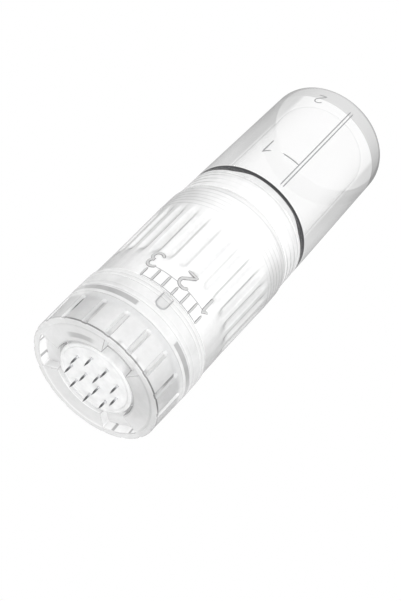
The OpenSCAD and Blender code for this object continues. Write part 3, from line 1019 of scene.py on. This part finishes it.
def digit(which, h):
    """Centre line of a digit h high, standing on z = 0 and centred on x = 0."""
    w = h * 0.56
    if which == 1:
        return [(-w * 0.42, h * 0.74), (-w * 0.1, h * 0.85), (w * 0.12, h), (w * 0.12, 0)]
    if which == 2:
        top = arc(0, h * 0.71, w / 2, h * 0.29, 165, -28, 12)
        return top + [(-w * 0.42, h * 0.1), (-w / 2, 0), (w / 2, 0)]
    top = arc(-w * 0.03, h * 0.745, w * 0.45, h * 0.255, 160, -80, 10)
    return top + arc(-w * 0.03, h * 0.27, w * 0.5, h * 0.27, 80, -160, 12)


def digit_on_wall(which, height, azimuth, z, radius):
    return [[(azimuth + math.degrees(x / radius), z + y) for x, y in digit(which, height)]]


def grip_mark(name, lines, width, height, material):
    fit(ridges(name, lines, width, height, grip_wall), "grip", material, "clear_grip")


def vial_mark(name, lines, width):
    mark = ridges(name, lines, width, 0.012, vial_wall, sink=0.01)
    fit(mark, "vial", PRINT, "clear_vial")


def build_marks():
    # depth scale: seven ticks, every third one short, two fine lines and the digits 1 2 3
    turn, low_z = 28.0, 35.1
    ticks = []
    for k in range(7):
        azimuth = -turn + k * turn / 3
        ticks.append([(azimuth, 35.55 if k % 3 == 0 else low_z), (azimuth, STEP_Z - 0.06)])
    grip_mark("scale_ticks", ticks, 0.24, 0.055, RAISED_MARK)
    lines = [[(-turn, z), (turn, z)] for z in (36.62, low_z)]
    grip_mark("scale_lines", lines, 0.07, 0.025, MOULDED_MARK)
    for which, azimuth in ((1, -26.8), (2, -1.5), (3, 28.0)):
        lines = digit_on_wall(which, 1.9, azimuth, z=33.38, radius=6.92)
        grip_mark(f"scale_digit_{which}", lines, 0.34, 0.055, RAISED_MARK)
    # print on the vial
    lines = [[(azimuth, 17.5), (azimuth, 2.1)] for azimuth in (-1.05, -3.9)]
    vial_mark("vial_lines", lines, 0.12)
    vial_mark("vial_ticks", [[(-0.6, 13.68), (15.6, 13.68)]], 0.17)
    # digit, height, azimuth, z, stroke width
    for which, height, azimuth, z, width in ((1, 2.3, 29.5, 12.4, 0.16),
                                             (2, 1.5, 28.0, 2.1, 0.13)):
        lines = digit_on_wall(which, height, azimuth, z, VIAL_R)
        vial_mark(f"vial_digit_{which}", lines, width)


build_marks()

# ------------------------------------------------------------------ dial
# Turned lines on the dial's skirt: z, depth, half width
TURNED_LINES = ((37.25, 0.05, 0.07), (37.68, 0.05, 0.07), (38.72, 0.03, 0.06),
                (39.2, 0.05, 0.07), (40.3, 0.045, 0.08))
# Degrees from a groove's middle where the mesh has columns, mirrored
GROOVE_COLUMNS = (0.75, 1.5, 2.0, 2.2, 2.4, 2.6, 2.8, 3.0, 3.3, 3.6)
POCKET_HALF = 20
EDGE_COLUMNS = (-0.35, -0.25, -0.1, 0.0, 0.1, 0.15, 0.3)   # the same from a pocket's edge
PIP_Z = 38.13                                              # centre of the index tab's end


def dial_shape(radius, height, azimuth):
    outer = radius > 6.45
    # narrow grooves with a round lower end, open at the top
    across = np.radians(wrap(azimuth - GROOVE_START, 180.0 / GROOVES)) * 6.85
    distance = np.hypot(across, np.clip(GROOVE_END_Z - height, 0, None))
    groove = 1 - smooth(distance, GROOVE_W / 2 - 0.07, GROOVE_W / 2 + 0.05)
    groove = np.where(height > GROOVE_END_Z - 0.6, groove, 0)
    fade = 1 - 0.8 * smooth(height, 43.55, 44.0)
    radius = radius - np.where(outer, groove * GROOVE_DEPTH * fade, 0)
    for z, depth, width in TURNED_LINES:
        line = depth * (1 - smooth(np.abs(height - z), 0.0, width))
        radius = radius - np.where(outer, line, 0)
    # raised index: a tab with a round top end
    across = np.radians(azimuth) * DIAL_R
    distance = np.hypot(across, np.clip(height - PIP_Z, 0, None))
    pip = (1 - smooth(distance, 0.50, 0.62)) * smooth(height, 36.98, 37.14)
    radius = radius + np.where(outer & (height < 39.5), pip * 0.15, 0)
    # three pockets in the top face, open to the mouth
    pocket = np.zeros_like(azimuth)
    for middle in POCKET_AZIMUTHS:
        off = np.abs(wrap(azimuth - middle))
        pocket = np.maximum(pocket, 1 - smooth(off, POCKET_HALF - 0.25, POCKET_HALF + 0.15))
    face = (radius < RIM_R + 0.001) & (height > 43.0)
    floor = FACE_Z - POCKET_DEPTH + (height - 43.0) * 0.02
    drop = pocket * np.clip(height - floor, 0, None)
    height = np.where(face, height - drop, height)
    # cam grooves inside: tilted cuts that the carrier's pins run in
    inner = (radius > 5.7) & (radius < 5.8) & (height < 39.3)
    for middle in PIN_AZIMUTHS:
        off = wrap(azimuth - middle)
        groove_z = PIN_Z - 5.95 * np.sin(np.radians(off)) * 0.179
        cam = ((1 - smooth(np.abs(height - groove_z), 0.56, 0.66))
               * (1 - smooth(np.abs(off), 36.2, 36.9)))
        radius = radius + np.where(inner, cam * 0.5, 0)
    return radius, height


def dial_azimuths():
    """Even columns, with more at the grooves, the pocket edges and the index."""
    offsets = [-c for c in GROOVE_COLUMNS[::-1]] + [0, *GROOVE_COLUMNS]
    columns = azimuth_steps(540, [GROOVE_START + 20 * k for k in range(GROOVES)], offsets)
    edges = [wrap(middle + side * POCKET_HALF) for middle in POCKET_AZIMUTHS
             for side in (-1, 1)]
    at_edges = [edge + offset for edge in edges for offset in EDGE_COLUMNS]
    at_index = np.linspace(-6, 6, 41)
    columns = np.unique(np.round(np.concatenate([columns, at_edges, at_index]), 3))
    return columns[np.concatenate([[True], np.diff(columns) > 0.02])]


def ring_lugs(radius, height, azimuth):
    """The ring's outer edge stands out in three lugs."""
    lug = np.zeros_like(azimuth)
    for k in range(3):
        off = np.abs(wrap(azimuth - (RING_START + 120 * k)))
        lug = np.maximum(lug, 1 - smooth(off, 39.3, 40.6))
    return np.where(radius > 5.9, 5.72 + (radius - 5.72) * lug, radius), height


def build_dial():
    bore_r, ring_r = 5.75, 6.2
    dial = lathe("dial", [
        (bore_r, DIAL_Z, .08), (DIAL_R, DIAL_Z, .12), (DIAL_R - 0.02, 39.1, 0),
        (6.81, 43.9, 0), (6.80, FACE_Z, .10), (RIM_R + 0.04, FACE_Z, .03),
        (RIM_R, FACE_Z - 0.02, 0), (MOUTH_R + 0.02, FACE_Z, .14), (MOUTH_R, 42.7, .12),
        (bore_r, 42.7, .25), (bore_r, 40.02, .03), (ring_r, 40.02, .04), (ring_r, 39.4, .04),
        (bore_r, 39.4, .03)],
        shape=dial_shape, step=0.28, azimuths=dial_azimuths(),
        zones=((36.9, 37.9, 0.06), (37.9, 38.9, 0.07), (38.9, 39.35, 0.06),
               (40.15, 40.45, 0.06), (40.75, 41.5, 0.06)))
    fit(dial, "dial", DIAL_CLEAR, "clear_dial", "depth_dial")

    # outline of the index tab
    half, low, high = 4.3, 37.1, 38.15
    end = [(half * math.sin(math.radians(t)), high + 0.53 * math.cos(math.radians(t)))
           for t in range(-75, 90, 15)]
    outline = [(-half, low), (-half, high), *end, (half, high), (half, low)]
    index = ridges("dial_index", [outline], 0.15, 0.02, lambda z: DIAL_R + 0.06, sink=0.06)
    fit(index, "dial", MOULDED_MARK, "clear_dial")

    ring = lathe("dial_ring", [(5.36, 39.46, .06), (6.15, 39.46, .06), (6.15, 39.96, .06),
                               (5.36, 39.96, .06)], 540, seg=30, shape=ring_lugs)
    fit(ring, "dial", SMOKY, "ring_grey", "dial_retaining_ring")


build_dial()


# ------------------------------------------------------------------ inside parts
def seal_ring(name, body, node, inner, outer, low, high, corner=.15, count=128):
    """Silicone ring of rounded rectangular section."""
    ring = lathe(name, [(inner, low, corner), (outer, low, corner), (outer, high, corner),
                        (inner, high, corner)], count)
    fit(ring, body, SILICONE, "silicone", node)


def bellows(name, inner, outer, wall, low, high, folds, corner):
    """Folded tube: its walls swing between the inner and outer radius."""
    rise = (high - low) / (2 * folds)

    def side(narrow, wide):
        points = []
        for i in range(2 * folds + 1):
            z = low + rise * i
            points.append((narrow if i % 2 == 0 else wide, z,
                           0.02 if z in (low, high) else corner))
        return points

    outside, inside = side(inner + wall, outer), side(inner, outer - wall)
    return lathe(name, outside + inside[::-1], 128, seg=20)


def build_seals():
    seal_ring("friction_ring", "grip", "dial_friction_ring", 5.32, 5.73, 40.38, 40.92)
    seal_ring("tube_ring", "grip", "tube_seal_ring", 0.82, 1.88, 26.24, 26.76,
              corner=.2, count=96)
    low, high, boss = SEAT_Z + GAP, 27.38, 27.6
    washer = lathe("seal_washer", [
        (0.95, low, .04), (4.72, low, .06), (4.72, high, .06), (2.0, high, .05),
        (2.0, boss, .05), (1.6, boss, .05), (1.6, high, .05), (0.95, high, .04)], 128)
    fit(washer, "grip", INNER_CLEAR, "clear_inner", "seal_retainer")


def build_carrier():
    carrier = lathe("carrier", [
        (0.82, 28.4, .05), (4.7, 28.4, .15), (4.7, CARRIER_TOP, .12), (3.9, CARRIER_TOP, .1),
        (3.9, 35.0, .05), (4.2, 35.0, .05), (4.2, FLOOR_TOP, .2), (0.82, FLOOR_TOP, .05)], 192)
    cut(carrier, [
        lay_radially(lathe("hole", [(0, 3.4), (0.5, 3.4), (0.5, 5.4), (0, 5.4)], 32,
                           closed=False), azimuth)
        for azimuth in PIN_AZIMUTHS])
    fit(carrier, "carrier", INNER_CLEAR, "clear_inner", "needle_carrier")
    spike_top = FLOOR_TOP - GAP
    spike = lathe("feed_spike", [(0.5, 20.5, .03), (0.65, 20.5, .05), (0.8, 21.2, .3),
                                 (0.8, spike_top, .05), (0.5, spike_top, .05)], 64)
    fit(spike, "carrier", INNER_CLEAR, "clear_inner", "feed_tube")
    for k, azimuth in enumerate(PIN_AZIMUTHS):
        pin = lathe(f"cam_pin_{k + 1}", [(0, 3.95), (0.49, 3.95, .08), (0.49, 6.17, .15),
                                         (0, 6.17)], 48, closed=False)
        fit(lay_radially(pin, azimuth), "carrier", NATURAL, "natural_plastic", "cam_pins")


def build_valve():
    low, lip_z, bore_r, lip_r = 29.22, 32.2, 1.2, 0.65
    housing = lathe("valve_housing", [
        (bore_r, low, .04), (2.5, low, .08), (2.5, 29.7, .1), (2.2, 29.9, .1), (2.2, 33.2, .3),
        (lip_r, 33.2, .1), (lip_r, lip_z, .05), (bore_r, lip_z, .05)], 96)
    fit(housing, "carrier", INNER_CLEAR, "clear_inner", "valve_body")
    # a ball of radius 1 would touch the lip of the outlet, and this one is slightly smaller
    ball_z, ball_r = lip_z - math.sqrt(1 - lip_r ** 2), 0.99
    arc_points = [(ball_r * math.sin(math.radians(a)), ball_z - ball_r * math.cos(math.radians(a)))
                  for a in range(6, 180, 6)]
    ball = lathe("check_ball", [(0.0, ball_z - ball_r), *arc_points, (0.0, ball_z + ball_r)],
                 48, closed=False)
    fit(ball, "ball", NATURAL, "clear_inner", "valve_ball")
    # each bellows gets a mesh of its own
    small = bellows("valve_bellows", 0.56, 0.9, wall=0.16, low=low, high=30.56, folds=3,
                    corner=0.06)
    fit(small, "carrier", NATURAL, "natural_plastic", "valve_spring")
    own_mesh(small)
    large = bellows("return_bellows", 3.0, 4.0, wall=0.4, low=low, high=34.18, folds=4,
                    corner=0.2)
    fit(large, "carrier", NATURAL, "natural_plastic", "return_spring")
    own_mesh(large)


def build_hub():
    top, floor_z, hub_r, groove_r = HUB_TOP - GAP, 41.38, 3.85, 3.45
    hub = lathe("hub", [
        (3.3, 34.2, .08), (4.15, 34.2, .1), (4.15, 34.97, .06), (hub_r, 34.97, .05),
        (hub_r, 40.65, .03), (groove_r, 40.65, .04), (groove_r, 41.25, .04),
        (hub_r, 41.25, .03), (hub_r, 42.55, .05), (3.95, 42.6, .05), (3.95, top, .06),
        (HUB_BORE + GAP, top, .05), (HUB_BORE + GAP, floor_z, .05), (0.9, floor_z, 0),
        (0.9, 40.5, 0), (3.3, 40.5, .3)], 160)
    stem = lathe("hub_stem", [
        (0, 32.46), (0.45, 32.46, .1), (0.45, 34.6, .05), (0.9, 34.6, .1),
        (0.88, floor_z, 0.02), (0, floor_z)], 64, closed=False)
    for part in (hub, stem):
        fit(part, "head", INNER_CLEAR, "clear_inner", "needle_hub")
    seal_ring("hub_ring", "head", "hub_seal_ring", 3.47, 3.88, 40.68, 41.22)


def build_needles():
    """Nine needles on an outer circle and three on an inner one, in two plates."""
    places = [polar(2.555, -8.6 + 40 * k) for k in range(9)]
    places += [polar(0.945, -9 + 120 * k) for k in range(3)]
    fit_r = HUB_BORE - GAP
    root = lathe("root_plate", [(0, 41.42), (fit_r, 41.42, .08), (fit_r, 42.2, .08),
                                (0, 42.2)], 96, closed=False)
    cut(root, rods(places, 41, 43, 0.115, 24))
    fit(root, "head", INNER_CLEAR, "clear_inner", "needle_base")
    sunk_z = PLATE_Z - 0.06
    plate = lathe("front_plate", [
        (0, 42.6), (fit_r, 42.6, .08), (fit_r, HUB_TOP, .05), (PLATE_R, HUB_TOP, .06),
        (PLATE_R, PLATE_Z, .22), (PLATE_R - 0.35, PLATE_Z, .02), (PLATE_R - 0.42, sunk_z, .03),
        (0, sunk_z)], 160, closed=False, step=1.2)
    cut(plate, rods(places, 42, 45, 0.15, 28))
    fit(plate, "head", PLATE_CLEAR, "clear_inner", "needle_plate")
    needle_r, root_z = 0.11, 41.44
    for k, (x, y) in enumerate(places):
        needle = lathe(f"needle_{k + 1}", [
            (0, root_z), (needle_r, root_z, .02), (needle_r, TIP_Z - 0.55, .2),
            (0.085, TIP_Z - 0.3, .3), (0.012, TIP_Z - 0.01, .01), (0, TIP_Z)], 28, closed=False)
        needle.data.transform(Matrix.Translation((x * MM, y * MM, 0)))
        fit(needle, "head", STEEL, "steel", "needles")


build_seals()
build_carrier()
build_valve()
build_hub()
build_needles()


# ------------------------------------------------------------------ floor, world and lights
def floor_disc():
    """Disc just below the vial, in rings of growing radius (m)."""
    count, z = 96, -0.00002
    bm = bmesh.new()
    centre = bm.verts.new((0, 0, z))
    turns = [2 * math.pi * i / count for i in range(count)]
    rings = [[bm.verts.new((radius * math.cos(t), radius * math.sin(t), z)) for t in turns]
             for radius in (0.02, 0.05, 0.12, 0.3, 0.9)]
    for i in range(count):
        j = (i + 1) % count
        bm.faces.new((centre, rings[0][i], rings[0][j]))
        for inner, outer in zip(rings, rings[1:]):
            bm.faces.new((inner[i], outer[i], outer[j], inner[j]))
    return bmesh_object("floor", bm)


def along_view(g):
    """How closely a ray runs along the camera's line: 1 along it, 0 sideways."""
    turned = g.node("VectorTransform", {0: g.node("NewGeometry")["Incoming"]},
                    vector_type="VECTOR", convert_from="WORLD", convert_to="CAMERA")
    return abs(g.node("SeparateXYZ", {0: turned})["Z"])


def tent_strength(g, tent, light_path, diffuse):
    """Brightness of the light tent: white to the camera, 1.09 to diffuse rays, and graded
    to all other rays."""
    return g.mix(light_path["Is Camera Ray"], g.mix(diffuse, tent, 1.09), 1.0)


def build_floor():
    floor = floor_disc()
    g = new_graph("floor_white")
    tent = along_view(g).remap((0.30, 0.86), (0.42, 1.0))
    light_path = g.node("LightPath")
    diffuse = light_path["Is Diffuse Ray"].multiply_add(1.0, 0.0)
    strength = tent_strength(g, tent, light_path, diffuse)
    glow = g.node("Emission", {"Color": (1, 1, 1, 1), "Strength": strength})
    floor.data.materials.append(g.finish(glow))


def build_world():
    world = bpy.data.worlds.new("studio")
    scene.world = world
    g = Graph(world, "OutputWorld")
    tent = along_view(g).remap((0.2, 0.9), (0.5, 0.95))
    light_path = g.node("LightPath")
    strength = tent_strength(g, tent, light_path, light_path["Is Diffuse Ray"])
    g.finish(g.node("Background", {"Strength": strength, "Color": (1, 1, 1, 1)}))


def area_light(name, location, size, power):
    """Rectangular light aimed at the middle of the product; metres and watts."""
    light = bpy.data.lights.new(name, "AREA")
    light.shape = "RECTANGLE"
    light.size, light.size_y = size
    light.energy = power
    obj = add_object(name, light)
    obj.location = location
    aim = Vector((0, 0, 0.03)) - Vector(location)
    obj.rotation_euler = aim.to_track_quat("-Z", "Y").to_euler()


build_floor()
build_world()
area_light("key", location=(-0.16, -0.12, 0.20), size=(0.10, 0.16), power=0.55)
area_light("fill", location=(0.20, -0.08, 0.12), size=(0.08, 0.14), power=0.25)


# ------------------------------------------------------------------ camera and render
def build_camera():
    """Camera in front of and above the product, looking down at it and rolled."""
    camera = bpy.data.cameras.new("cam")
    obj = add_object("cam", camera)
    camera.sensor_fit = "AUTO"
    camera.sensor_width = 36.0
    camera.lens = 62.326123
    camera.shift_x = 0.02457571
    camera.shift_y = -0.02529118
    azimuth = math.radians(-3.0)
    outward = Vector((math.sin(azimuth), -math.cos(azimuth), 0))
    sideways = Vector((-math.cos(azimuth), -math.sin(azimuth), 0))
    down = Vector((0, 0, -1))
    # distance from the axis and height, in vial radii
    position = outward * (11.377 * VIAL_R) + Vector((0, 0, 13.1 * VIAL_R))
    level, drop = 0.7877, 0.6161             # the view direction's level and downward parts
    forward = (-level) * outward + drop * down
    across = level * down + drop * outward   # square to the view, in the upright plane
    right = (0.69676 * across + 0.7173 * sideways).normalized()   # rolls the picture
    back = (-forward).normalized()
    up = back.cross(right).normalized()
    right = up.cross(back).normalized()
    matrix = Matrix((right, up, back)).transposed().to_4x4()
    matrix.translation = position * MM
    obj.matrix_world = matrix
    camera.clip_start = 0.005
    camera.clip_end = 10
    scene.camera = obj


def set_render():
    scene.view_settings.view_transform = "Standard"
    scene.view_settings.look = "None"
    cycles = scene.cycles
    cycles.max_bounces = 12
    cycles.transmission_bounces = 12
    cycles.glossy_bounces = 12
    cycles.diffuse_bounces = 4
    cycles.transparent_max_bounces = 80   # many clear walls lie behind one another
    cycles.caustics_reflective = True
    cycles.caustics_refractive = True
    cycles.blur_glossy = 0.3
    cycles.sample_clamp_indirect = 3.0
    cycles.use_denoising = True


build_camera()
set_render()
